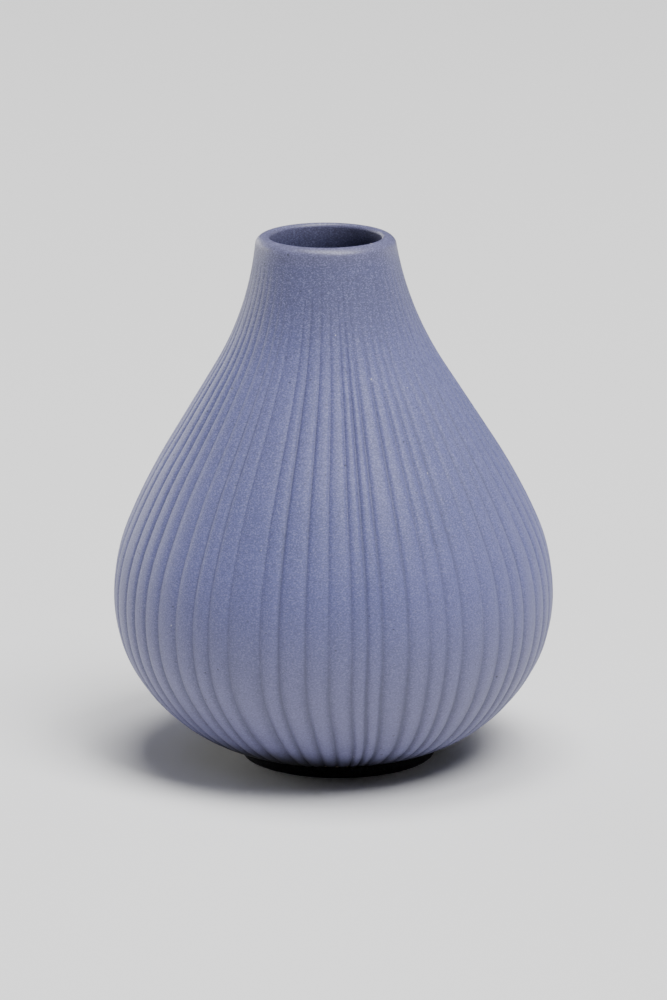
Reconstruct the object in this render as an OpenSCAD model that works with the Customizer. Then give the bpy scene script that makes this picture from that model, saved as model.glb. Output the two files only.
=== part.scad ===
// Ceramic bud vase: a fig-shaped slip-cast body, a matte coat combed through in
// hand-spaced grooves, a waterproof liner glaze and a thin black pad under the foot.
// Lengths are in millimetres, +Z is up and the origin is the middle of the resting face.

/* [Overall] */
// Height from the table to the top of the lip
vase_h = 141; // [115:1:170]
// Widest diameter, across the belly
belly_d = 117; // [96:1:142]
// Height of the widest point above the table
belly_z = 44; // [36:1:53]

/* [Wall and lip] */
// Finished wall, from the outside of the coat to the inside of the liner
wall_t = 3.8; // [3.2:0.1:4.6]
// Finished floor, from the underside to the inside of the liner
floor_t = 5.5; // [4.5:0.5:8]
// Outer diameter of the lip
lip_d = 37.7; // [31:0.5:46]
// Radius of the lip's inner edge, with the crest over its middle
lip_edge = 1.1; // [1:0.1:1.4]
// How far the lip stands proud of the wall on each side
lip_swell = 0.15; // [0.15:0.05:0.4]

/* [Coats] */
// Thickness of the matte coat outside
coat_t = 0.7; // [0.5:0.05:0.9]
// Thickness of the liner glaze inside
liner_t = 0.35; // [0.25:0.05:0.5]

/* [Grooves] */
// Width of each groove where it starts, by the foot
groove_w = 1.3; // [0.8:0.1:1.5]
// Width of each groove where it ends, on the neck
groove_neck_w = 0.8; // [0.5:0.1:1]
// Distance from the top of the lip down to where the grooves end
groove_top = 10; // [6:1:16]
// Distance from the foot's edge up to where the grooves start
groove_foot = 1; // [0.6:0.2:3]
// How many times the rhythm of the lands goes round the vase
rhythm_turns = 2; // [1:1:3]
// Direction of the first groove, from +X towards +Y
first_groove = 200; // [0:5:355]

/* [Foot] */
// Diameter of the foot and of the pad under it, as a share of the belly's
foot_share = 0.44; // [0.38:0.01:0.5]
// Thickness of the black foot pad
pad_t = 2.8; // [1.5:0.1:4]
// Thickness of the adhesive film above the pad
film_t = 0.2; // [0.1:0.05:0.4]
// How far the film stops short of the pad's edge
film_inset = 0.8; // [0.5:0.1:2]

/* [Hidden] */
$fn = 96;

// Widths of the lands between grooves, in shares, as a hand spaces them
rhythm = [
    6, 6, 6, 7, 6, 5, 6, 9, 5, 7,
    6, 6, 4, 4, 7, 6, 5, 5, 7, 6,
    6, 5, 7, 6, 6, 6, 6, 6, 6, 8
];
// Each curve of the wall starts this far inside the one below, so that they cross cleanly
lap = 0.02;
// How far a groove plate stands out past the widest point
clear = 1;

function point(radius, angle) = radius * [cos(angle), sin(angle)];
function sum_to(list, last) = last < 0 ? 0 : list[last] + sum_to(list, last - 1);

belly_r = belly_d / 2;
foot_d = belly_d * foot_share;
foot_z = pad_t + film_t;

// The lip's large outer round, where the neck runs into it, and the middle of its width
lip_arc = wall_t + 2 * lip_swell - lip_edge;
lip_c = [lip_d / 2 - lip_arc, vase_h - lip_arc - lap];
neck_meets = lip_arc - lip_swell;
lip_mid = (lip_d - wall_t) / 2 - lip_swell;

// Lean of the wall from upright where each curve above the belly ends
mean_lean = atan2(belly_r - lip_mid, lip_c.y - belly_z);
belly_lean = 0.95 * mean_lean;
shoulder_lean = 1.33 * mean_lean;
neck_lean = 0.34 * mean_lean;

// Climb and narrowing from the belly to the lip. The belly's curve and the straight
// slope take set shares of the climb, and the shoulder and neck radii close the rest.
climb = lip_c.y + neck_meets * sin(neck_lean) - belly_z;
narrowing = belly_r - lip_c.x - neck_meets * cos(neck_lean);
belly_arc = 0.54 * climb;
slope_len = 0.27 * climb;
climb_left = climb - belly_arc * sin(belly_lean) - slope_len * cos(shoulder_lean);
narrowing_left = narrowing - belly_arc * (1 - cos(belly_lean)) - slope_len * sin(shoulder_lean);
shoulder_up = sin(shoulder_lean) - sin(belly_lean);
shoulder_in = cos(belly_lean) - cos(shoulder_lean);
neck_up = sin(shoulder_lean) - sin(neck_lean);
neck_in = cos(neck_lean) - cos(shoulder_lean);
closing = shoulder_up * neck_in - neck_up * shoulder_in;
shoulder_arc = (climb_left * neck_in - narrowing_left * neck_up) / closing;
neck_arc = (narrowing_left * shoulder_up - climb_left * shoulder_in) / closing;

// Radius of the underside, which runs from the foot's edge to the widest point
under_in = belly_r - foot_d / 2;
under_up = belly_z - foot_z;
under_arc = (under_in * under_in + under_up * under_up) / (2 * under_in);

// Centres of the curves and the ends of the straight slope, from the foot up
under_c = [belly_r - under_arc, belly_z];
belly_c = [belly_r - belly_arc - lap, belly_z];
shoulder_c = belly_c + point(belly_arc - shoulder_arc - lap, belly_lean);
slope_low = shoulder_c + point(shoulder_arc - lap, shoulder_lean);
slope_top = slope_low + point(slope_len, shoulder_lean + 90);
neck_c = slope_top + point(neck_arc - lap, shoulder_lean);

module above(z) {
    translate([0, z]) square([belly_d, vase_h]);
}

// Half section of the vase up to the middle of the lip, filled to the axis, with
// its whole surface moved in by inset
module filled(inset = 0) {
    slope_foot = slope_low - point(inset, shoulder_lean);
    slope_reach = point(slope_len * 1.5, shoulder_lean + 90);
    neck_z = slope_top.y - inset * sin(shoulder_lean);
    translate([0, foot_z]) square([under_c.x, under_up]);
    intersection() {
        above(foot_z);
        translate(under_c) circle(under_arc - inset);
    }
    intersection() {
        above(belly_z);
        translate(belly_c) circle(belly_arc - inset);
    }
    intersection() {
        above(belly_z + (belly_arc - inset) * sin(belly_lean));
        translate(shoulder_c) circle(shoulder_arc - inset);
    }
    polygon([
        [0, slope_foot.y],
        slope_foot,
        slope_foot + slope_reach,
        [0, slope_foot.y + slope_reach.y]
    ]);
    difference() {
        translate([0, neck_z]) square([neck_c.x, lip_c.y - neck_z]);
        translate(neck_c) circle(neck_arc + inset);
    }
}

// Half section of the lip: a large round outside, a small one on the inner edge
module lip(inset) {
    edge_z = vase_h - lip_edge;
    intersection() {
        translate([lip_c.x, lip_c.y - lip_arc]) square(2 * lip_arc);
        translate(lip_c) circle(lip_arc - inset);
    }
    translate([lip_c.x - lip_edge + inset, lip_c.y - lap])
        square([lip_edge, edge_z - lip_c.y + lap]);
    translate([lip_c.x, edge_z]) circle(lip_edge - inset);
}

// The same half section as far as the top of the lip
module blank(inset = 0) {
    filled(inset);
    lip(inset);
}

// Half section of the hollow inside, above the floor
module hollow(inset, floor_z) {
    intersection() {
        above(floor_z);
        filled(inset);
    }
}

// A plate that stands along +X and narrows from the foot to the neck
module groove_plate() {
    low = foot_z + groove_foot;
    top = vase_h - groove_top;
    translate([lip_c.x / 2, 0, 0])
        rotate([90, 0, 90])
            linear_extrude(belly_r + clear)
                polygon([
                    [-groove_w / 2, low],
                    [groove_w / 2, low],
                    [groove_neck_w / 2, top],
                    [-groove_neck_w / 2, top]
                ]);
}

// The plates round the axis, one for each groove
module groove_plates() {
    lands = len(rhythm);
    share = 360 / rhythm_turns / sum_to(rhythm, lands - 1);
    for (turn = [0 : rhythm_turns - 1], land = [0 : lands - 1])
        rotate(first_groove + turn * 360 / rhythm_turns + share * sum_to(rhythm, land - 1))
            groove_plate();
}

// The fired stoneware, one piece from the foot to the lip
module clay_body() {
    color("Linen")
        rotate_extrude()
            difference() {
                blank(coat_t);
                hollow(wall_t - liner_t, foot_z + floor_t - liner_t);
            }
}

// The matte blue-grey coat over the outside and the lip, combed through in grooves
module matte_coat() {
    color("SlateGray")
        difference() {
            rotate_extrude()
                difference() {
                    blank();
                    blank(coat_t);
                }
            groove_plates();
        }
}

// The liner glaze that makes the inside hold water
module liner_glaze() {
    color("DimGray")
        rotate_extrude()
            difference() {
                hollow(wall_t - liner_t, foot_z + floor_t - liner_t);
                hollow(wall_t, foot_z + floor_t);
            }
}

// The film of adhesive that holds the pad to the clay
module adhesive_film() {
    color("Gainsboro")
        translate([0, 0, pad_t])
            cylinder(d = foot_d - 2 * film_inset, h = film_t);
}

// The black pad that the vase rests on
module foot_pad() {
    color("Black")
        cylinder(d = foot_d, h = pad_t);
}

clay_body();
matte_coat();
liner_glaze();
adhesive_film();
foot_pad();
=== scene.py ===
"""Ceramic bud vase: the looks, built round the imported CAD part.

The fired body, its matte coat and the liner glaze are lathe surfaces worked out as whole arrays,
from the same few sizes as the CAD part. All lengths are in metres, +Z is up.
"""

import logging
import math
from collections.abc import Sequence
from dataclasses import dataclass, field
from enum import Enum

import bpy
import numpy as np
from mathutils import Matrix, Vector


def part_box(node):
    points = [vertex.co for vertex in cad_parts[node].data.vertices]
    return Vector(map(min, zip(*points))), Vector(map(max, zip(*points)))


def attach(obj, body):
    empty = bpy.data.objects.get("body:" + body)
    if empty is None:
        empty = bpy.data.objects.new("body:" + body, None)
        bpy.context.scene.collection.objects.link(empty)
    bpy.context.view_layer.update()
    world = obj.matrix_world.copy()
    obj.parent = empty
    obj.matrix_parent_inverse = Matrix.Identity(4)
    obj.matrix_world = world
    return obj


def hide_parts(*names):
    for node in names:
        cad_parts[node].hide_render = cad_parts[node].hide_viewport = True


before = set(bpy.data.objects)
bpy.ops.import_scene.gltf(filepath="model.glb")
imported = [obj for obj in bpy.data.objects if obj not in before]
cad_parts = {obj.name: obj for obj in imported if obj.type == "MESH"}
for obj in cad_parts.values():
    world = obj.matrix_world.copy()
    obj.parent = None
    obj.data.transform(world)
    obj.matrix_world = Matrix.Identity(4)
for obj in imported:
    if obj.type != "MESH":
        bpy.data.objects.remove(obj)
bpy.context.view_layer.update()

BODY = "root"
MM = 0.001
Span = tuple[float, float]
Colour = tuple[float, float, float, float]

log = logging.getLogger("bud_vase")


# ---------------------------------------------------------------- shared maths


def ramp(value: np.ndarray, low: float, high: float) -> np.ndarray:
    """Smooth step: 0 below low, 1 above high, and 3t^2 - 2t^3 between them."""
    t = np.clip((value - low) / (high - low), 0.0, 1.0)
    return t * t * (3.0 - 2.0 * t)


def arc(centre: Sequence[float], radius: float, start: float, end: float, count: int) -> np.ndarray:
    """Points on a circle, centre + radius (cos a, sin a).

    Args:
        centre: Radius and height of the circle's centre.
        radius: Radius of the circle.
        start: First angle from the outward direction, in radians.
        end: Last angle, in radians.
        count: How many points to return, both ends included.

    Returns:
        An array of count rows of (radius, height).
    """
    a = np.linspace(start, end, count)
    return np.stack([centre[0] + radius * np.cos(a), centre[1] + radius * np.sin(a)], axis=1)


def resample(path: np.ndarray, count: int) -> np.ndarray:
    """Spaces a path's points evenly along its length.

    Args:
        path: Rows of (radius, height).
        count: How many points to return.

    Returns:
        The same path as count rows.
    """
    steps = np.hypot(*np.diff(path, axis=0).T)
    along = np.concatenate([[0.0], np.cumsum(steps)])
    even = np.linspace(0.0, along[-1], count)
    return np.stack([np.interp(even, along, path[:, k]) for k in (0, 1)], axis=1)


def outward(path: np.ndarray) -> np.ndarray:
    """Unit normals of a path that climbs with the solid on its left: its tangent turned clockwise.

    Args:
        path: Rows of (radius, height).

    Returns:
        A row of (radius, height) for each point.
    """
    tangent = np.gradient(path, axis=0)
    tangent /= np.linalg.norm(tangent, axis=1, keepdims=True)
    return np.stack([tangent[:, 1], -tangent[:, 0]], axis=1)


# ---------------------------------------------------------------- the vase's own form


@dataclass(frozen=True)
class VaseForm:
    """The vase's sizes and its wall's curves, which the coat, the clay and the liner share.

    The lip has a large round outside and a small one on its inner edge, with the crest between.
    """

    height: float
    belly_r: float
    foot_r: float
    foot_z: float
    belly_z: float = 44 * MM
    lip_r: float = 18.85 * MM
    wall_t: float = 3.8 * MM
    floor_t: float = 5.5 * MM
    lip_edge: float = 1.1 * MM
    lip_swell: float = 0.15 * MM
    coat_t: float = 0.7 * MM
    liner_t: float = 0.35 * MM
    lap_bury: float = 0.06 * MM
    belly_share: float = 0.54
    slope_share: float = 0.27
    lean_shares: tuple[float, float, float] = (0.95, 1.33, 0.34)

    @classmethod
    def from_frame(cls) -> "VaseForm":
        """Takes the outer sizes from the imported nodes.

        Returns:
            The form.
        """
        coat_low, coat_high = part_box("matte_coat")
        pad_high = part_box("foot_pad")[1]
        return cls(height=coat_high[2], belly_r=coat_high[0], foot_r=pad_high[0], foot_z=coat_low[2])

    @property
    def lip_arc(self) -> float:
        """Radius of the lip's outer round."""
        return self.wall_t + 2 * self.lip_swell - self.lip_edge

    @property
    def lip_c(self) -> np.ndarray:
        """Centre of the lip's outer round, as radius and height."""
        return np.array([self.lip_r - self.lip_arc, self.height - self.lip_arc])

    @property
    def mouth_r(self) -> float:
        """Radius of the clear mouth."""
        return self.lip_c[0] - self.lip_edge

    def leans(self) -> tuple[float, float, float]:
        """Works out the wall's lean from upright as set shares of its mean lean above the belly.

        Returns:
            The lean where the belly, shoulder and neck curves end, in radians.
        """
        lip_mid = self.lip_r - self.wall_t / 2 - self.lip_swell
        mean = math.atan2(self.belly_r - lip_mid, self.lip_c[1] - self.belly_z)
        return tuple(share * mean for share in self.lean_shares)

    def wall(self, count: int) -> np.ndarray:
        """The outer wall from the foot's edge to the lip.

        It is five tangent pieces: the underside, the belly, the shoulder, a straight slope and the
        hollow neck. The shoulder and neck radii are those that make the climb and narrowing close.

        Args:
            count: How many points to return.

        Returns:
            Evenly spaced rows of (radius, height).
        """
        belly_a, slope_a, neck_a = self.leans()
        lip, meets = self.lip_c, self.lip_arc - self.lip_swell
        climb = lip[1] + meets * math.sin(neck_a) - self.belly_z
        narrowing = self.belly_r - lip[0] - meets * math.cos(neck_a)
        belly_arc = self.belly_share * climb
        slope = self.slope_share * climb
        up = climb - belly_arc * math.sin(belly_a) - slope * math.cos(slope_a)
        inward = narrowing - belly_arc * (1 - math.cos(belly_a)) - slope * math.sin(slope_a)
        shares = np.array([
            [math.sin(slope_a) - math.sin(belly_a), math.sin(slope_a) - math.sin(neck_a)],
            [math.cos(belly_a) - math.cos(slope_a), math.cos(neck_a) - math.cos(slope_a)],
        ])
        shoulder_arc, neck_arc = np.linalg.solve(shares, [up, inward])
        under_in, under_up = self.belly_r - self.foot_r, self.belly_z - self.foot_z
        under_arc = (under_in**2 + under_up**2) / (2 * under_in)
        under_c = np.array([self.belly_r - under_arc, self.belly_z])
        belly_c = np.array([self.belly_r - belly_arc, self.belly_z])
        at_belly = np.array([math.cos(belly_a), math.sin(belly_a)])
        at_slope = np.array([math.cos(slope_a), math.sin(slope_a)])
        shoulder_c = belly_c + (belly_arc - shoulder_arc) * at_belly
        slope_low = shoulder_c + shoulder_arc * at_slope
        slope_top = slope_low + slope * np.array([-at_slope[1], at_slope[0]])
        neck_c = slope_top + neck_arc * at_slope
        foot_a = math.atan2(self.foot_z - self.belly_z, self.foot_r - under_c[0])
        pieces = [
            arc(under_c, under_arc, foot_a, 0.0, 160),
            arc(belly_c, belly_arc, 0.0, belly_a, 80)[1:],
            arc(shoulder_c, shoulder_arc, belly_a, slope_a, 80)[1:],
            slope_top[None, :],
            arc(neck_c, neck_arc, math.pi + slope_a, math.pi + neck_a, 120)[1:],
        ]
        return resample(np.concatenate(pieces), count)

    def inset(self, path: np.ndarray, depth: float) -> np.ndarray:
        """The wall's path moved in square to itself by depth."""
        return path - depth * outward(path)

    def lip(self, inset: float, count: int) -> np.ndarray:
        """The lip's path moved in by inset, from where the neck meets it down to the liner's top.

        The outer round swells a little over its first part. The inner edge is a small round with
        the same crest, and below it the mouth is straight.

        Args:
            inset: How far the path lies inside the lip's surface.
            count: Points on the outer round. The inner edge has about half as many.

        Returns:
            Rows of (radius, height).
        """
        neck_a = self.leans()[2]
        a = np.linspace(neck_a, math.pi / 2, count)
        radius = self.lip_arc - inset - self.lip_swell * (1 - ramp(a, neck_a, neck_a + 0.6))
        outer = self.lip_c + np.stack([radius * np.cos(a), radius * np.sin(a)], axis=1)
        edge_c = (self.lip_c[0], self.height - self.lip_edge)
        inner = arc(edge_c, self.lip_edge - inset, math.pi / 2, math.pi, count // 2 + 1)
        foot = [[self.mouth_r + inset, self.lip_c[1]]]
        return np.concatenate([outer, inner[1:], foot])

    def throat(self, drop: float, count: int) -> np.ndarray:
        """The coat's feathered end, which laps down over the liner from the straight of the mouth.

        Its radius runs in even steps from the mouth's to just behind the liner's face.

        Args:
            drop: How far down the lap reaches.
            count: How many points to return.

        Returns:
            Rows of (radius, height), from the top down.
        """
        face = self.inset(self.wall(240), self.wall_t)
        z = np.linspace(self.lip_c[1], self.lip_c[1] - drop, count)
        behind = np.interp(z, face[:, 1], face[:, 0]) + self.lap_bury
        t = (self.lip_c[1] - z) / drop
        return np.stack([self.mouth_r + (behind - self.mouth_r) * t, z], axis=1)


@dataclass(frozen=True)
class HandThrow:
    """How far the fired form strays from a true lathe form: its lean, its foot and its wobble."""

    neck_lean: float = -2.1 * MM
    lean_from: float = 62 * MM
    foot_shift: float = 0.35 * MM
    foot_span: float = 24 * MM
    pad_shift: float = 1.3 * MM
    wobble: float = 0.08 * MM
    tuck: float = 0.75 * MM
    tuck_low: Span = (3 * MM, 8 * MM)
    tuck_high: Span = (10 * MM, 32 * MM)
    seed: int = 11

    def centre_x(self, z: np.ndarray, height: float) -> np.ndarray:
        """Sideways place of the axis: a bow above the belly and a step at the foot.

        Args:
            z: Heights.
            height: Height of the whole vase.

        Returns:
            How far the axis has moved towards +X at each height.
        """
        above = np.clip((z - self.lean_from) / (height - self.lean_from), 0.0, 1.0)
        below = 1.0 - ramp(z, 0.0, self.foot_span)
        return self.neck_lean * above**1.4 + self.foot_shift * below

    def slack(self, azimuth: np.ndarray, z: np.ndarray) -> np.ndarray:
        """How far the wall lies inside the true form: slow waves, and a tuck low on the underside.

        Args:
            azimuth: Rows by columns of azimuths.
            z: Heights, as one column.

        Returns:
            Rows by columns of depths, to be read at the widest radius.
        """
        rng = np.random.default_rng(self.seed)
        total = np.zeros(np.broadcast(azimuth, z).shape)
        for turns in (2, 3, 4, 5):
            phase, climb = rng.uniform(0, math.tau), rng.uniform(20, 60)
            total = total + np.sin(turns * azimuth + climb * z + phase) / turns
        low = (0.4 + 0.6 * ramp(z, *self.tuck_low)) * (1 - ramp(z, *self.tuck_high))
        return self.wobble * (0.5 + 0.35 * total) + self.tuck * low


@dataclass(frozen=True)
class GrooveComb:
    """The upright grooves combed by hand into the matte coat, and the soft lands between them."""

    width: float = 1.6 * MM
    depth: float = 0.36 * MM
    pillow: float = 0.35 * MM
    low_pillow: float = 0.16 * MM
    deepest: float = 0.66 * MM
    first: float = math.radians(200)
    turns: int = 2
    rhythm: tuple[int, ...] = (
        6, 6, 6, 7, 6, 5, 6, 9, 5, 7, 6, 6, 4, 4, 7,
        6, 5, 5, 7, 6, 6, 5, 7, 6, 6, 6, 6, 6, 6, 8,
    )  # fmt: skip
    crown_power: float = 2.2
    neck_fade: Span = (90 * MM, 131 * MM)
    neck_end: Span = (131 * MM, 137 * MM)
    foot_ease: Span = (3 * MM, 8 * MM)
    full_press: Span = (46 * MM, 66 * MM)
    low_lands: Span = (20 * MM, 48 * MM)
    bow_top: float = math.radians(3.0)
    bow_top_span: Span = (70 * MM, 138 * MM)
    bow_foot: float = math.radians(2.5)
    bow_foot_span: Span = (3 * MM, 34 * MM)
    seed: int = 5
    near: tuple[float, ...] = (-1.5, -1.0, -0.6, -0.25, 0.0, 0.25, 0.6, 1.0, 1.5)
    land_points: int = 3

    def lands(self) -> np.ndarray:
        """Width of each land all the way round, in radians."""
        once = np.array(self.rhythm, float)
        return np.tile(once / once.sum(), self.turns) * math.tau / self.turns

    def columns(self, radius: np.ndarray, belly_r: float) -> tuple[np.ndarray, np.ndarray, np.ndarray]:
        """Places of the mesh's columns at each radius of the wall.

        Near a groove the columns keep set distances from its middle, in half widths, and the rest
        of each land is shared out evenly. A groove narrows with the square root of the radius.

        Args:
            radius: Radius of the wall in each row.
            belly_r: The largest radius, where a groove has its full width.

        Returns:
            Three arrays of rows by columns: the azimuth, the distance from the groove's middle in
            half widths, and the place across the land from -1 to 1.
        """
        lands = self.lands()
        starts = self.first + np.concatenate([[0.0], np.cumsum(lands)[:-1]])
        half = 0.5 * self.width * np.sqrt(radius / belly_r) / radius
        half = np.minimum(half[:, None], 0.22 * lands[None, :])
        near = np.array(self.near)
        after = near[None, None, near >= 0] * half[:, :, None]
        ahead = near[None, None, near < 0] * np.roll(half, -1, axis=1)[:, :, None]
        gap_low = after[:, :, -1:]
        gap_high = lands[None, :, None] + ahead[:, :, :1]
        share = (np.arange(self.land_points) + 1) / (self.land_points + 1)
        middle = gap_low + (gap_high - gap_low) * share
        local = np.concatenate([after, middle, lands[None, :, None] + ahead], axis=2)
        azimuth = starts[None, :, None] + local
        to_here = local / half[:, :, None]
        to_next = (lands[None, :, None] - local) / np.roll(half, -1, axis=1)[:, :, None]
        off_groove = np.minimum(to_here, to_next)
        across = 2 * local / lands[None, :, None] - 1
        rows = len(radius)
        return azimuth.reshape(rows, -1), off_groove.reshape(rows, -1), across.reshape(rows, -1)

    def strength(self, columns: int) -> np.ndarray:
        """How deep each groove was pressed: half of each land goes with the groove on its side.

        Args:
            columns: Columns of the mesh.

        Returns:
            A number from 0.5 to 1 for each column.
        """
        rng = np.random.default_rng(self.seed)
        grooves = len(self.rhythm) * self.turns
        each = rng.uniform(0.5, 1.0, grooves)
        per = columns // grooves
        here = np.repeat(each, per)
        following = np.repeat(np.roll(each, -1), per)
        t = np.tile(np.arange(per) / per, grooves)
        return np.where(t < 0.5, here, following)

    def fade(self, z: np.ndarray) -> np.ndarray:
        """1 over the belly, running out up the neck to faint streaks and easing off by the foot."""
        neck = 1 - 0.82 * ramp(z, *self.neck_fade) - 0.18 * ramp(z, *self.neck_end)
        return neck * (0.5 + 0.5 * ramp(z, *self.foot_ease))

    def bow(self, z: np.ndarray) -> np.ndarray:
        """Turn of the whole comb at each height: it swings a little at the neck and at the foot."""
        top = self.bow_top * ramp(z, *self.bow_top_span)
        return top + self.bow_foot * (1 - ramp(z, *self.bow_foot_span))

    def relief(self, off: np.ndarray, across: np.ndarray, z: np.ndarray) -> tuple[np.ndarray, np.ndarray]:
        """Depth of the surface below the true form, and the groove's own share of it from 0 to 1.

        The groove is a round-bottomed V, and the land falls off with the distance from its
        middle to the crown's power.

        Args:
            off: Distance from the nearest groove's middle, in half widths.
            across: Place across the land, from -1 to 1.
            z: Heights, as one column.

        Returns:
            Two arrays of rows by columns: the depth and the groove's share.
        """
        fade = self.fade(z)
        pressed = 0.72 + 0.28 * ramp(z, *self.full_press)
        groove = (1 - ramp(off, 0.0, 1.4)) * fade * pressed * self.strength(off.shape[1])[None, :]
        pillow = self.pillow + self.low_pillow * (1 - ramp(z, *self.low_lands))
        crown = np.abs(across) ** self.crown_power * fade * pillow
        return np.minimum(self.depth * groove + crown, self.deepest), groove


# ---------------------------------------------------------------- meshes


def lathe(name: str, grid: np.ndarray, closed: bool) -> bpy.types.Object:
    """A mesh from a grid of points that goes all the way round the vase.

    Each row is a ring. The rings join in order, and either the last joins the first, or each end
    closes on a pole at the middle of its ring.

    Args:
        name: Name of the new piece.
        grid: Rows by columns by 3, with the solid's outside on the right of the rows' direction.
        closed: Whether the last ring joins the first.

    Returns:
        The new object, at the origin.
    """
    rows, cols = grid.shape[:2]
    index = np.arange(rows * cols).reshape(rows, cols)
    lower = index if closed else index[:-1]
    upper = np.roll(index, -1, axis=0) if closed else index[1:]
    quads = np.stack([lower, np.roll(lower, -1, axis=1), np.roll(upper, -1, axis=1), upper], axis=-1)
    faces = quads.reshape(-1, 4)
    points = grid.reshape(-1, 3)
    loops, totals = faces.ravel(), np.full(len(faces), 4)
    if not closed:
        poles = np.array([grid[0].mean(axis=0), grid[-1].mean(axis=0)])
        first, last = len(points), len(points) + 1
        points = np.concatenate([points, poles])
        ring0, ring1 = index[0], index[-1]
        fan0 = np.stack([np.full(cols, first), np.roll(ring0, -1), ring0], axis=1)
        fan1 = np.stack([np.full(cols, last), ring1, np.roll(ring1, -1)], axis=1)
        loops = np.concatenate([loops, fan0.ravel(), fan1.ravel()])
        totals = np.concatenate([totals, np.full(2 * cols, 3)])
    mesh = bpy.data.meshes.new(name)
    mesh.vertices.add(len(points))
    mesh.vertices.foreach_set("co", points.astype(np.float32).ravel())
    mesh.loops.add(len(loops))
    mesh.loops.foreach_set("vertex_index", loops.astype(np.int32))
    mesh.polygons.add(len(totals))
    starts = np.concatenate([[0], np.cumsum(totals)[:-1]])
    mesh.polygons.foreach_set("loop_start", starts.astype(np.int32))
    mesh.polygons.foreach_set("use_smooth", np.ones(len(totals), bool))
    mesh.update(calc_edges=True)
    mesh.validate()
    piece = bpy.data.objects.new(name, mesh)
    bpy.context.scene.collection.objects.link(piece)
    return piece


def rings(path: np.ndarray, azimuth: np.ndarray) -> np.ndarray:
    """Points of a lathe surface: each path point turned to each azimuth of its row.

    Args:
        path: Rows of (radius, height).
        azimuth: Rows by columns of azimuths.

    Returns:
        Rows by columns by 3 of places.
    """
    radius, height = path[:, 0][:, None], path[:, 1][:, None]
    return np.stack([
        radius * np.cos(azimuth),
        radius * np.sin(azimuth),
        np.broadcast_to(height, azimuth.shape),
    ], axis=-1)  # fmt: skip


def put_attribute(piece: bpy.types.Object, name: str, values: np.ndarray) -> None:
    """Stores one number for each point of a piece.

    Args:
        piece: The piece.
        name: Name of the attribute.
        values: The numbers in the order of the points. Points past their end get 0.
    """
    layer = piece.data.attributes.new(name, "FLOAT", "POINT")
    full = np.zeros(len(piece.data.vertices), np.float32)
    full[: values.size] = values.ravel()
    layer.data.foreach_set("value", full)


# ---------------------------------------------------------------- shader graph


class Wire:
    """A shader socket that can be used in sums: each operator adds one Math node."""

    def __init__(self, graph: "Graph", socket: bpy.types.NodeSocket) -> None:
        """Wraps a socket of a graph."""
        self.graph = graph
        self.socket = socket

    def _math(self, operation: str, first: "Wire | float", second: "Wire | float") -> "Wire":
        """One Math node."""
        return self.graph.node("ShaderNodeMath", {"operation": operation}, {0: first, 1: second})

    def __add__(self, other: "Wire | float") -> "Wire":
        """Sum."""
        return self._math("ADD", self, other)

    def __radd__(self, other: float) -> "Wire":
        """Sum, with the number first."""
        return self._math("ADD", other, self)

    def __sub__(self, other: "Wire | float") -> "Wire":
        """Difference."""
        return self._math("SUBTRACT", self, other)

    def __rsub__(self, other: float) -> "Wire":
        """Difference, with the number first."""
        return self._math("SUBTRACT", other, self)

    def __mul__(self, other: "Wire | float") -> "Wire":
        """Product."""
        return self._math("MULTIPLY", self, other)

    def __truediv__(self, other: "Wire | float") -> "Wire":
        """Quotient."""
        return self._math("DIVIDE", self, other)

    def step(self, low: float, high: float) -> "Wire":
        """Smooth step from 0 at low to 1 at high.

        Args:
            low: Where it starts.
            high: Where it ends. It may be below low, which turns the step round.

        Returns:
            The step.
        """
        return self.graph.node(
            "ShaderNodeMapRange",
            {"interpolation_type": "SMOOTHSTEP"},
            {"Value": self, "From Min": low, "From Max": high},
        )


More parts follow.
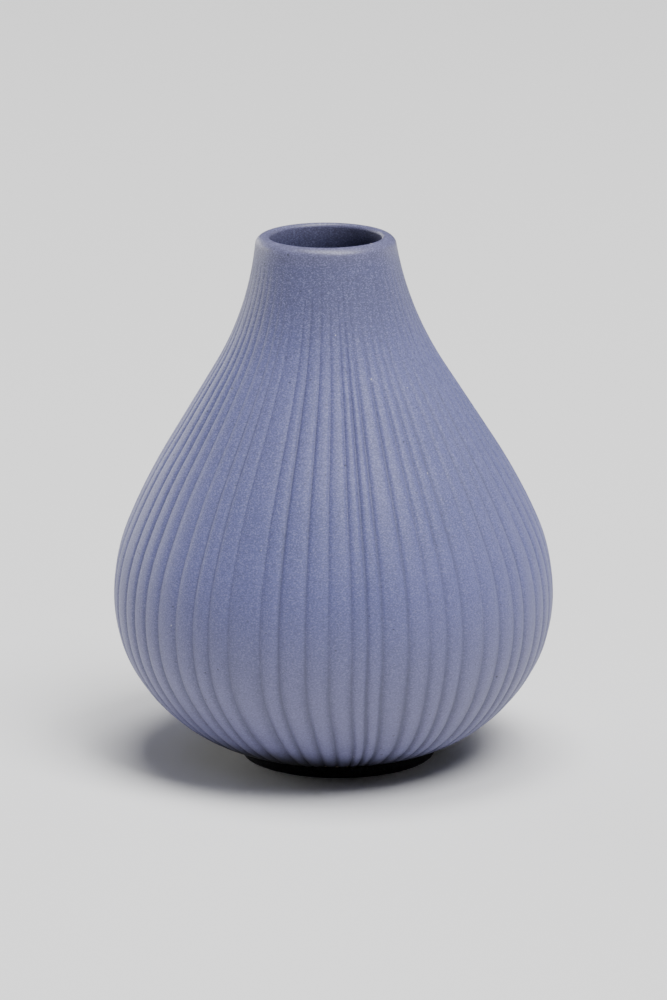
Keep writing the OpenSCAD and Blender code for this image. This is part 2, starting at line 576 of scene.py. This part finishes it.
class Graph:
    """A material's node tree, with one method that adds any node."""

    def __init__(self, name: str) -> None:
        """Starts an empty material with its output node.

        Args:
            name: Name of the material.
        """
        self.material = bpy.data.materials.new(name)
        self.material.use_nodes = True
        self.tree = self.material.node_tree
        self.tree.nodes.clear()
        self.output = self.tree.nodes.new("ShaderNodeOutputMaterial")

    def node(self, kind: str, settings: dict, inputs: dict, output: "str | int" = 0) -> Wire:
        """Adds a node.

        Args:
            kind: The node's type.
            settings: Its own settings, which are set first.
            inputs: Values or wires by socket name or number.
            output: Which of its outputs to return.

        Returns:
            The chosen output.
        """
        made = self.tree.nodes.new(kind)
        for key, value in settings.items():
            setattr(made, key, value)
        for key, value in inputs.items():
            target = made.inputs[key]
            if isinstance(value, Wire):
                self.tree.links.new(value.socket, target)
            else:
                target.default_value = value
        return Wire(self, made.outputs[output])

    def place(self) -> Wire:
        """Object coordinates, in metres."""
        return self.node("ShaderNodeTexCoord", {}, {}, "Object")

    def attribute(self, name: str) -> Wire:
        """A number stored on the mesh's points."""
        return self.node("ShaderNodeAttribute", {"attribute_name": name}, {}, "Fac")

    def axis(self, place: Wire, name: str) -> Wire:
        """The place along X, Y or Z, in metres."""
        return self.node("ShaderNodeSeparateXYZ", {}, {0: place}, name)

    def stretched(self, place: Wire, scale: Sequence[float]) -> Wire:
        """The place with its axes scaled, for a pattern that isn't the same in every direction."""
        return self.node("ShaderNodeMapping", {}, {"Vector": place, "Scale": scale})

    def noise(self, place: Wire, scale: float, detail: float = 3.0, roughness: float = 0.5) -> Wire:
        """Noise from 0 to 1, scale to the metre."""
        inputs = {"Vector": place, "Scale": scale, "Detail": detail, "Roughness": roughness}
        return self.node("ShaderNodeTexNoise", {}, inputs, "Fac")

    def dots(self, place: Wire, scale: float, radius: float, share: float) -> Wire:
        """Round dots in some of the cells of a grid that has no order.

        Args:
            place: Where the pattern is read.
            scale: Cells to the metre.
            radius: Radius of the largest dots, in cells.
            share: The share of the cells that hold a dot.

        Returns:
            1 in a dot and 0 outside, with a soft edge.
        """
        cell = {"Vector": place, "Scale": scale, "Randomness": 1.0}
        far = self.node("ShaderNodeTexVoronoi", {"feature": "F1"}, cell, "Distance")
        tint = self.node("ShaderNodeTexVoronoi", {"feature": "F1"}, cell, "Color")
        pick = self.node("ShaderNodeSeparateColor", {}, {0: tint}, "Red")
        size = self.node("ShaderNodeSeparateColor", {}, {0: tint}, "Green")
        reach = (size * 0.6 + 0.4) * radius
        return (far / reach).step(1.15, 0.55) * pick.step(share, share * 0.9)

    def mix(self, factor: "Wire | float", first: object, second: object) -> Wire:
        """Two colours mixed."""
        settings = {"data_type": "RGBA", "clamp_factor": True}
        return self.node("ShaderNodeMix", settings, {0: factor, 6: first, 7: second}, 2)

    def bump(self, height: Wire, distance: float, strength: float = 1.0) -> Wire:
        """A normal from a height."""
        inputs = {"Height": height, "Distance": distance, "Strength": strength}
        return self.node("ShaderNodeBump", {}, inputs)

    def finish(self, inputs: dict) -> bpy.types.Material:
        """Ends the tree in one Principled shader.

        Args:
            inputs: Values or wires by socket name.

        Returns:
            The finished material.
        """
        shader = self.node("ShaderNodeBsdfPrincipled", {}, inputs)
        self.tree.links.new(shader.socket, self.output.inputs["Surface"])
        return self.material


@dataclass(frozen=True)
class MatteGlaze:
    """Matte blue-grey glaze: mottled, fine in grain, with pinholes, pale specks, grooves darker from
    pooling and painted shade, painted shade and highlight on the low lands and a painted shadow at the
    foot.
    """

    base: Colour = (0.122, 0.129, 0.306, 1.0)
    cool: Colour = (0.106, 0.115, 0.280, 1.0)
    mauve: Colour = (0.132, 0.129, 0.226, 1.0)
    dusk: Colour = (0.090, 0.094, 0.198, 1.0)
    # Light tone for grain flecks, and for the painted highlight on the low lands' crowns.
    pale: Colour = (0.235, 0.240, 0.430, 1.0)
    # Dark tone for grain flecks, and for glaze pooling and painted shade in the grooves.
    groove: Colour = (0.075, 0.078, 0.130, 1.0)
    pinhole: Colour = (0.035, 0.036, 0.055, 1.0)
    speck: Colour = (0.72, 0.70, 0.70, 1.0)
    # Near-black of the painted contact shadow at the foot.
    foot_shadow: Colour = (0.006, 0.006, 0.008, 1.0)
    roughness: float = 0.52
    grain_scale: float = 520.0
    fine_scale: float = 2100.0
    mauve_span: Span = (60 * MM, 16 * MM)
    neck_span: Span = (106 * MM, 124 * MM)
    collar_span: Span = (114 * MM, 129 * MM)
    streak_span: Span = (108 * MM, 120 * MM)
    # Height span of the painted shade and highlight across the low lands.
    land_shade_span: Span = (62 * MM, 16 * MM)
    grain_span: Span = (20 * MM, 90 * MM)
    # Painted shadow at the foot: its height span, its tilt across X and its ragged edge.
    foot_shadow_span: Span = (12.5 * MM, 4.2 * MM)
    foot_shadow_tilt: float = 0.05
    foot_shadow_ragged: float = 4 * MM

    def colour(self, g: "Graph", place: "Wire", z: "Wire", form: VaseForm) -> "Wire":
        """The glaze's tone before its marks: mottled, greyer low down, darker up the neck.

        Args:
            g: The material's graph.
            place: Object coordinates.
            z: Height above the table.
            form: The vase's sizes.

        Returns:
            The tone.
        """
        tone = g.mix(g.noise(place, 28.0, 4.0).step(0.35, 0.7), self.base, self.cool)
        tone = g.mix(z.step(*self.mauve_span) * 0.78, tone, self.mauve)
        cloud = g.noise(g.stretched(place, (1.0, 1.0, 0.45)), 70.0, 3.0)
        neck = z.step(*self.neck_span)
        collar = z.step(*self.collar_span) * 0.50
        tone = g.mix(neck * (0.32 + (cloud - 0.5) * 0.5) + collar, tone, self.dusk)
        lip = z.step(form.height - 6 * MM, form.height - 1 * MM)
        return g.mix(lip * 0.7, tone, self.mauve)

    def make(self, form: VaseForm) -> bpy.types.Material:
        """Builds the material.

        Args:
            form: The vase's sizes.

        Returns:
            The material.
        """
        g = Graph("matte_glaze")
        place = g.place()
        z = g.axis(place, "Z")
        flat = g.stretched(place, (1.0, 1.0, 1.6))
        colour = self.colour(g, place, z, form)
        grain = g.noise(flat, self.grain_scale, 4.0, 0.6)
        fine = g.noise(flat, self.fine_scale, 2.0, 0.7)
        colour = g.mix(grain.step(0.42, 0.70) * 0.16, colour, self.groove)
        upper = 0.75 + z.step(*self.grain_span) * 0.4
        colour = g.mix(fine.step(0.50, 0.66) * upper * 0.50, colour, self.groove)
        colour = g.mix(fine.step(0.50, 0.34) * upper * 0.60, colour, self.pale)
        groove = g.attribute("groove")
        # Grooves darker, partly glaze pooling and partly painted shade; up the neck the faint grooves get
        # the same painted shade as darker streaks.
        colour = g.mix(groove.step(0.15, 1.0) * 0.42, colour, self.groove)
        streak = groove.step(0.02, 0.24) * z.step(*self.streak_span)
        colour = g.mix(streak * 0.16, colour, self.groove)
        # Painted shade and highlight on the lands low down: each land darkened towards its grooves and
        # lightened on its crown, as a low side light would shade the ribs.
        across = g.attribute("across")
        low = z.step(*self.land_shade_span)
        colour = g.mix(across * low * 0.62, colour, self.groove)
        colour = g.mix((0.55 - across).step(0.0, 0.55) * low * 0.16, colour, self.pale)
        patchy = g.noise(place, 34.0, 1.0).step(0.42, 0.62)
        holes = g.dots(flat, 330.0, 0.16, 0.30) * patchy
        fine_holes = g.dots(flat, 900.0, 0.24, 0.22)
        specks = g.dots(g.stretched(place, (1.0, 1.0, 0.8)), 210.0, 0.075, 0.26)
        colour = g.mix(holes * 0.8, colour, self.pinhole)
        colour = g.mix(fine_holes * 0.45, colour, self.pinhole)
        colour = g.mix(specks * 0.62, colour, self.speck)
        # Painted shadow: towards the foot the glaze goes almost black, reaching higher on the -X side and
        # with a ragged edge, as a contact shadow.
        tilt = g.axis(place, "X") * self.foot_shadow_tilt
        shadow_height = z + tilt + (g.noise(place, 45.0, 2.0) - 0.5) * self.foot_shadow_ragged
        colour = g.mix(shadow_height.step(*self.foot_shadow_span) * 0.98, colour, self.foot_shadow)
        lip = z.step(form.height - 7 * MM, form.height - 2 * MM)
        rough = self.roughness + (fine - 0.5) * 0.16 - lip * 0.1
        relief = grain * 0.55 + fine * 0.4 - holes * 0.9 - fine_holes * 0.5
        return g.finish({
            "Base Color": colour,
            "Roughness": rough,
            "Specular IOR Level": 0.5,
            "Normal": g.bump(relief, 0.09 * MM, 0.8),
        })


@dataclass(frozen=True)
class LinerGlaze:
    """Satin liner glaze inside, a paler tone of the coat."""

    base: Colour = (0.235, 0.250, 0.395, 1.0)
    deep: Colour = (0.175, 0.188, 0.310, 1.0)
    roughness: float = 0.42

    def make(self) -> bpy.types.Material:
        """Builds the material.

        Returns:
            The material.
        """
        g = Graph("liner_glaze")
        place = g.place()
        colour = g.mix(g.noise(place, 60.0, 4.0).step(0.3, 0.7), self.base, self.deep)
        holes = g.dots(place, 420.0, 0.16, 0.2)
        colour = g.mix(holes * 0.6, colour, self.deep)
        ripple = g.noise(place, 240.0, 3.0)
        return g.finish({
            "Base Color": colour,
            "Roughness": self.roughness + (ripple - 0.5) * 0.12,
            "Normal": g.bump(ripple - holes * 0.4, 0.1 * MM, 0.5),
        })


@dataclass(frozen=True)
class BareClay:
    """Fired stoneware without glaze: buff, sandy and dry."""

    base: Colour = (0.52, 0.45, 0.36, 1.0)
    sand: Colour = (0.30, 0.24, 0.18, 1.0)

    def make(self) -> bpy.types.Material:
        """Builds the material.

        Returns:
            The material.
        """
        g = Graph("bare_clay")
        place = g.place()
        grit = g.dots(place, 700.0, 0.25, 0.35)
        colour = g.mix(g.noise(place, 300.0, 4.0).step(0.35, 0.75) * 0.4, self.base, self.sand)
        colour = g.mix(grit * 0.5, colour, self.sand)
        return g.finish({
            "Base Color": colour,
            "Roughness": 0.88,
            "Normal": g.bump(g.noise(place, 1200.0, 4.0) + grit * 0.4, 0.12 * MM, 0.8),
        })


@dataclass(frozen=True)
class PressedFelt:
    """Dense black felt: matted fibres, a little lint, and no gloss."""

    base: Colour = (0.006, 0.006, 0.007, 1.0)
    lint: Colour = (0.028, 0.028, 0.032, 1.0)

    def make(self) -> bpy.types.Material:
        """Builds the material.

        Returns:
            The material.
        """
        g = Graph("pressed_felt")
        place = g.place()
        along = g.noise(g.stretched(place, (1.0, 3.0, 1.0)), 900.0, 4.0, 0.7)
        across = g.noise(g.stretched(place, (3.0, 1.0, 2.0)), 900.0, 4.0, 0.7)
        fibre = along * across
        colour = g.mix(fibre.step(0.24, 0.42), self.base, self.lint)
        return g.finish({
            "Base Color": colour,
            "Roughness": 0.95,
            "Specular IOR Level": 0.15,
            "Normal": g.bump(fibre, 0.3 * MM, 0.9),
        })


@dataclass(frozen=True)
class DriedFilm:
    """The adhesive film: dull and faintly yellow, with trapped bubbles."""

    base: Colour = (0.55, 0.53, 0.46, 1.0)
    bubble: Colour = (0.70, 0.69, 0.62, 1.0)

    def make(self) -> bpy.types.Material:
        """Builds the material.

        Returns:
            The material.
        """
        g = Graph("dried_film")
        place = g.place()
        bubbles = g.dots(place, 260.0, 0.3, 0.5)
        colour = g.mix(bubbles * 0.7, self.base, self.bubble)
        return g.finish({
            "Base Color": colour,
            "Roughness": 0.5,
            "Normal": g.bump(bubbles, 0.1 * MM, 0.6),
        })


@dataclass(frozen=True)
class PaleFloor:
    """The plain pale floor."""

    tone: Colour = (0.86, 0.86, 0.86, 1.0)

    def make(self) -> bpy.types.Material:
        """Builds the material.

        Returns:
            The material.
        """
        g = Graph("pale_floor")
        return g.finish({"Base Color": self.tone, "Roughness": 0.8, "Specular IOR Level": 0.2})


# ---------------------------------------------------------------- sub-assemblies


def settle(piece: bpy.types.Object, node: str, material: bpy.types.Material) -> None:
    """Dresses a piece, rides it on the body and puts it in the place of its CAD node.

    Args:
        piece: The piece.
        node: The CAD node that it stands for.
        material: Its finish.
    """
    piece.data.materials.append(material)
    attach(piece, BODY)
    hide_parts(node)
    faces = sum(len(p.vertices) - 2 for p in piece.data.polygons)
    log.info("%s: %d triangles in place of %s", piece.name, faces, node)


@dataclass
class FiredVase:
    """The ceramic itself: the clay, the matte coat outside and the liner glaze inside."""

    form: VaseForm
    throw: HandThrow = field(default_factory=HandThrow)
    comb: GrooveComb = field(default_factory=GrooveComb)
    wall_rows: int = 84
    lip_rows: int = 12
    lap: float = 8 * MM
    lap_rows: int = 7
    back_rows: int = 20
    back_lip_rows: int = 5
    clay_rows: int = 70
    clay_lip_rows: int = 10
    clay_floor_rows: int = 8
    liner_rows: int = 120
    liner_back_rows: int = 10
    liner_floor_rows: int = 12
    plain_columns: int = 192

    def thrown(self, path: np.ndarray, azimuth: np.ndarray, depth: np.ndarray) -> np.ndarray:
        """Lathe points with the fired form's lean and wobble.

        Args:
            path: Rows of (radius, height).
            azimuth: Rows by columns of azimuths.
            depth: Rows by columns of how far each point lies below the surface, square to it.

        Returns:
            Rows by columns by 3 of places.
        """
        normal = outward(path)
        height = path[:, 1][:, None] - depth * normal[:, 1][:, None]
        radius = path[:, 0][:, None] - depth * normal[:, 0][:, None]
        radius = radius * (1 - self.throw.slack(azimuth, path[:, 1][:, None]) / self.form.belly_r)
        shift = self.throw.centre_x(path[:, 1], self.form.height)[:, None]
        return np.stack([radius * np.cos(azimuth) + shift, radius * np.sin(azimuth), height], axis=-1)

    def plain_azimuth(self, rows: int) -> np.ndarray:
        """Even azimuths for a surface without grooves."""
        once = np.arange(self.plain_columns) * math.tau / self.plain_columns
        return np.broadcast_to(once, (rows, self.plain_columns))

    def coat(self) -> bpy.types.Object:
        """The matte coat: its combed outside, over the lip, and its back against the clay.

        Returns:
            The piece, with its grooves' share and its place across the lands stored on its points.
        """
        form, comb = self.form, self.comb
        lip = form.lip(0.0, self.lip_rows)
        throat = form.throat(self.lap, self.lap_rows)
        outside = np.concatenate([form.wall(self.wall_rows), lip[1:], throat[1:]])
        back = np.concatenate([
            form.lip(form.coat_t, self.back_lip_rows)[::-1],
            form.inset(form.wall(self.back_rows), form.coat_t)[::-1][1:],
        ])  # fmt: skip
        azimuth, off, across = comb.columns(outside[:, 0], form.belly_r)
        z = outside[:, 1][:, None]
        depth, groove = comb.relief(off, across, z)
        front = self.thrown(outside, azimuth + comb.bow(z), depth)
        azimuth, _, _ = comb.columns(back[:, 0], form.belly_r)
        bow = comb.bow(back[:, 1][:, None])
        behind = self.thrown(back, azimuth + bow, np.zeros_like(azimuth))
        piece = lathe("matte_coat_visual", np.concatenate([front, behind]), closed=True)
        put_attribute(piece, "groove", np.concatenate([groove, np.zeros(behind.shape[:2])]))
        put_attribute(piece, "across", np.abs(across) ** comb.crown_power)
        return piece

    def shell(self, name: str, outer: np.ndarray, inner: np.ndarray) -> bpy.types.Object:
        """A closed shell between two paths that both end at the vase's axis.

        Args:
            name: Name of the new piece.
            outer: Rows of (radius, height) of the side away from the axis, from the middle out.
            inner: Rows of the side towards the axis, going on from there and back to the middle.

        Returns:
            The piece.
        """
        path = np.concatenate([outer, inner])
        azimuth = self.plain_azimuth(len(path))
        return lathe(name, self.thrown(path, azimuth, np.zeros_like(azimuth)), closed=False)

    def floor_path(self, radius: float, height: float, count: int) -> np.ndarray:
        """Even points from near the axis out to radius, at one height."""
        reach = np.linspace(radius / count, radius, count)
        return np.stack([reach, np.full(count, height)], axis=1)

    def clay(self) -> bpy.types.Object:
        """The fired stoneware between the coat and the liner, with its underside and its floor.

        Returns:
            The piece.
        """
        form = self.form
        wall = form.wall(self.clay_rows)
        outside = form.inset(wall, form.coat_t)
        outside = outside[outside[:, 1] >= form.foot_z]
        inside = form.inset(wall, form.wall_t - form.liner_t)[::-1]
        floor_z = form.foot_z + form.floor_t - form.liner_t
        inside = inside[inside[:, 1] > floor_z]
        under = self.floor_path(outside[0, 0], form.foot_z, self.clay_floor_rows)
        floor = self.floor_path(inside[-1, 0], floor_z, self.clay_floor_rows)[::-1]
        lip = form.lip(form.coat_t, self.clay_lip_rows)
        outer = np.concatenate([under, outside[1:], lip[1:]])
        return self.shell("clay_body_visual", outer, np.concatenate([inside[1:], floor]))

    def liner(self) -> bpy.types.Object:
        """The liner glaze, from the lip down the inside and over the floor.

        Returns:
            The piece.
        """
        form = self.form
        wall = form.wall(self.liner_rows)
        floor_z = form.foot_z + form.floor_t
        face = form.inset(wall, form.wall_t)
        face = face[face[:, 1] > floor_z]
        back = form.inset(wall, form.wall_t - form.liner_t)
        back = back[back[:, 1] > floor_z - form.liner_t]
        top = form.lip_c[1]
        face[-1, 1] = back[-1, 1] = top
        under = self.floor_path(back[0, 0], floor_z - form.liner_t, self.liner_back_rows)
        floor = self.floor_path(face[0, 0], floor_z, self.liner_floor_rows)[::-1]
        outer = np.concatenate([under, back[1:]])
        return self.shell("liner_glaze_visual", outer, np.concatenate([face[::-1], floor]))

    def build(self) -> None:
        """Builds and dresses the three pieces."""
        settle(self.coat(), "matte_coat", MatteGlaze().make(self.form))
        settle(self.clay(), "clay_body", BareClay().make())
        settle(self.liner(), "liner_glaze", LinerGlaze().make())


@dataclass
class Foot:
    """The black felt pad and the film that holds it, stuck on a little off centre."""

    throw: HandThrow = field(default_factory=HandThrow)
    pad_edge: float = 0.35 * MM
    film_edge: float = 0.06 * MM
    face_rows: int = 12
    edge_rows: int = 6
    columns: int = 192

    def disc(self, node: str, edge: float) -> bpy.types.Object:
        """A disc in the place of a CAD node, with its cut edge rounded top and bottom.

        Args:
            node: The CAD node whose radius and heights it takes.
            edge: Radius of the rounding.

        Returns:
            The new object.
        """
        low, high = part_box(node)
        radius, top = high[0], high[2]
        face = np.linspace(radius / self.face_rows, radius - edge, self.face_rows)
        path = np.concatenate([
            np.stack([face, np.full_like(face, low[2])], axis=1)[:-1],
            arc((radius - edge, low[2] + edge), edge, -math.pi / 2, 0.0, self.edge_rows),
            arc((radius - edge, top - edge), edge, 0.0, math.pi / 2, self.edge_rows),
            np.stack([face[::-1], np.full_like(face, top)], axis=1)[1:],
        ])  # fmt: skip
        once = np.arange(self.columns) * math.tau / self.columns
        azimuth = np.broadcast_to(once, (len(path), self.columns))
        grid = rings(path, azimuth)
        grid[..., 0] += self.throw.pad_shift
        return lathe(node + "_visual", grid, closed=False)

    def build(self) -> None:
        """Builds and dresses the pad and the film."""
        settle(self.disc("foot_pad", self.pad_edge), "foot_pad", PressedFelt().make())
        settle(self.disc("adhesive_film", self.film_edge), "adhesive_film", DriedFilm().make())


# ---------------------------------------------------------------- studio


class LightRole(Enum):
    """What each soft light is for."""

    KEY = "key"
    TOP = "top"
    LEFT_EDGE = "left_edge"
    BACK_EDGE = "back_edge"
    RIGHT_EDGE = "right_edge"


@dataclass(frozen=True)
class SoftLight:
    """A square area light aimed at the vase, placed by its direction from the middle of the vase."""

    role: LightRole
    azimuth: float
    elevation: float
    power: float
    side: float = 1.8
    distance: float = 4.0

    def place(self, aim: Vector) -> Vector:
        """Where the light hangs. Azimuth 0 is the viewer's side and 90 degrees is the viewer's right.

        Args:
            aim: The middle of the vase.

        Returns:
            The light's place.
        """
        turn, rise = math.radians(self.azimuth), math.radians(self.elevation)
        level = self.distance * math.cos(rise)
        offset = (level * math.sin(turn), -level * math.cos(turn), self.distance * math.sin(rise))
        return aim + Vector(offset)

    def build(self, aim: Vector) -> None:
        """Adds the light.

        Args:
            aim: The middle of the vase.
        """
        data = bpy.data.lights.new(self.role.value, "AREA")
        data.shape = "SQUARE"
        data.size = self.side
        data.energy = self.power
        lamp = bpy.data.objects.new(self.role.value, data)
        lamp.location = self.place(aim)
        lamp.rotation_euler = (aim - lamp.location).to_track_quat("-Z", "Y").to_euler()
        bpy.context.scene.collection.objects.link(lamp)


@dataclass
class Studio:
    """The floor, the lights and the camera."""

    camera_back: float = 1.5651
    camera_up: float = 0.4755
    camera_pitch: float = math.radians(14.552)
    lens: float = 219.4
    floor_side: float = 12.0
    ambient: float = 0.05
    lights: tuple[SoftLight, ...] = (
        SoftLight(LightRole.KEY, 46.0, 62.0, 184.0),
        SoftLight(LightRole.TOP, 0.0, 90.0, 140.0),
        SoftLight(LightRole.LEFT_EDGE, -118.0, 8.0, 54.0),
        SoftLight(LightRole.BACK_EDGE, -150.0, 8.0, 42.0),
        SoftLight(LightRole.RIGHT_EDGE, 125.0, 8.0, 16.0),
    )

    def floor(self) -> None:
        """The flat pale floor."""
        half = self.floor_side / 2
        mesh = bpy.data.meshes.new("floor")
        corners = [(-half, -half, 0), (half, -half, 0), (half, half, 0), (-half, half, 0)]
        mesh.from_pydata(corners, [], [(0, 1, 2, 3)])
        mesh.materials.append(PaleFloor().make())
        floor = bpy.data.objects.new("floor", mesh)
        bpy.context.scene.collection.objects.link(floor)

    def sky(self) -> None:
        """Even pale light from all round."""
        world = bpy.data.worlds.new("studio")
        world.use_nodes = True
        background = world.node_tree.nodes["Background"]
        background.inputs["Color"].default_value = (1.0, 1.0, 1.0, 1.0)
        background.inputs["Strength"].default_value = self.ambient
        bpy.context.scene.world = world

    def camera(self) -> None:
        """The camera in front, a little above, looking slightly down."""
        data = bpy.data.cameras.new("camera")
        data.sensor_width = 36.0
        data.sensor_fit = "AUTO"
        data.lens = self.lens
        data.clip_end = 50.0
        camera = bpy.data.objects.new("camera", data)
        camera.location = (0.0, -self.camera_back, self.camera_up)
        camera.rotation_euler = (math.pi / 2 - self.camera_pitch, 0.0, 0.0)
        bpy.context.scene.collection.objects.link(camera)
        bpy.context.scene.camera = camera

    def build(self, aim: Vector) -> None:
        """Builds the studio.

        Args:
            aim: What the lights point at.
        """
        self.camera()
        self.floor()
        self.sky()
        for light in self.lights:
            light.build(aim)


def main() -> None:
    """Builds the vase, its foot and the studio."""
    logging.basicConfig(level=logging.INFO, format="%(name)s: %(message)s")
    form = VaseForm.from_frame()
    Studio().build(Vector((0.0, 0.0, form.height / 2)))
    FiredVase(form).build()
    Foot().build()


if __name__ == "__main__":
    main()
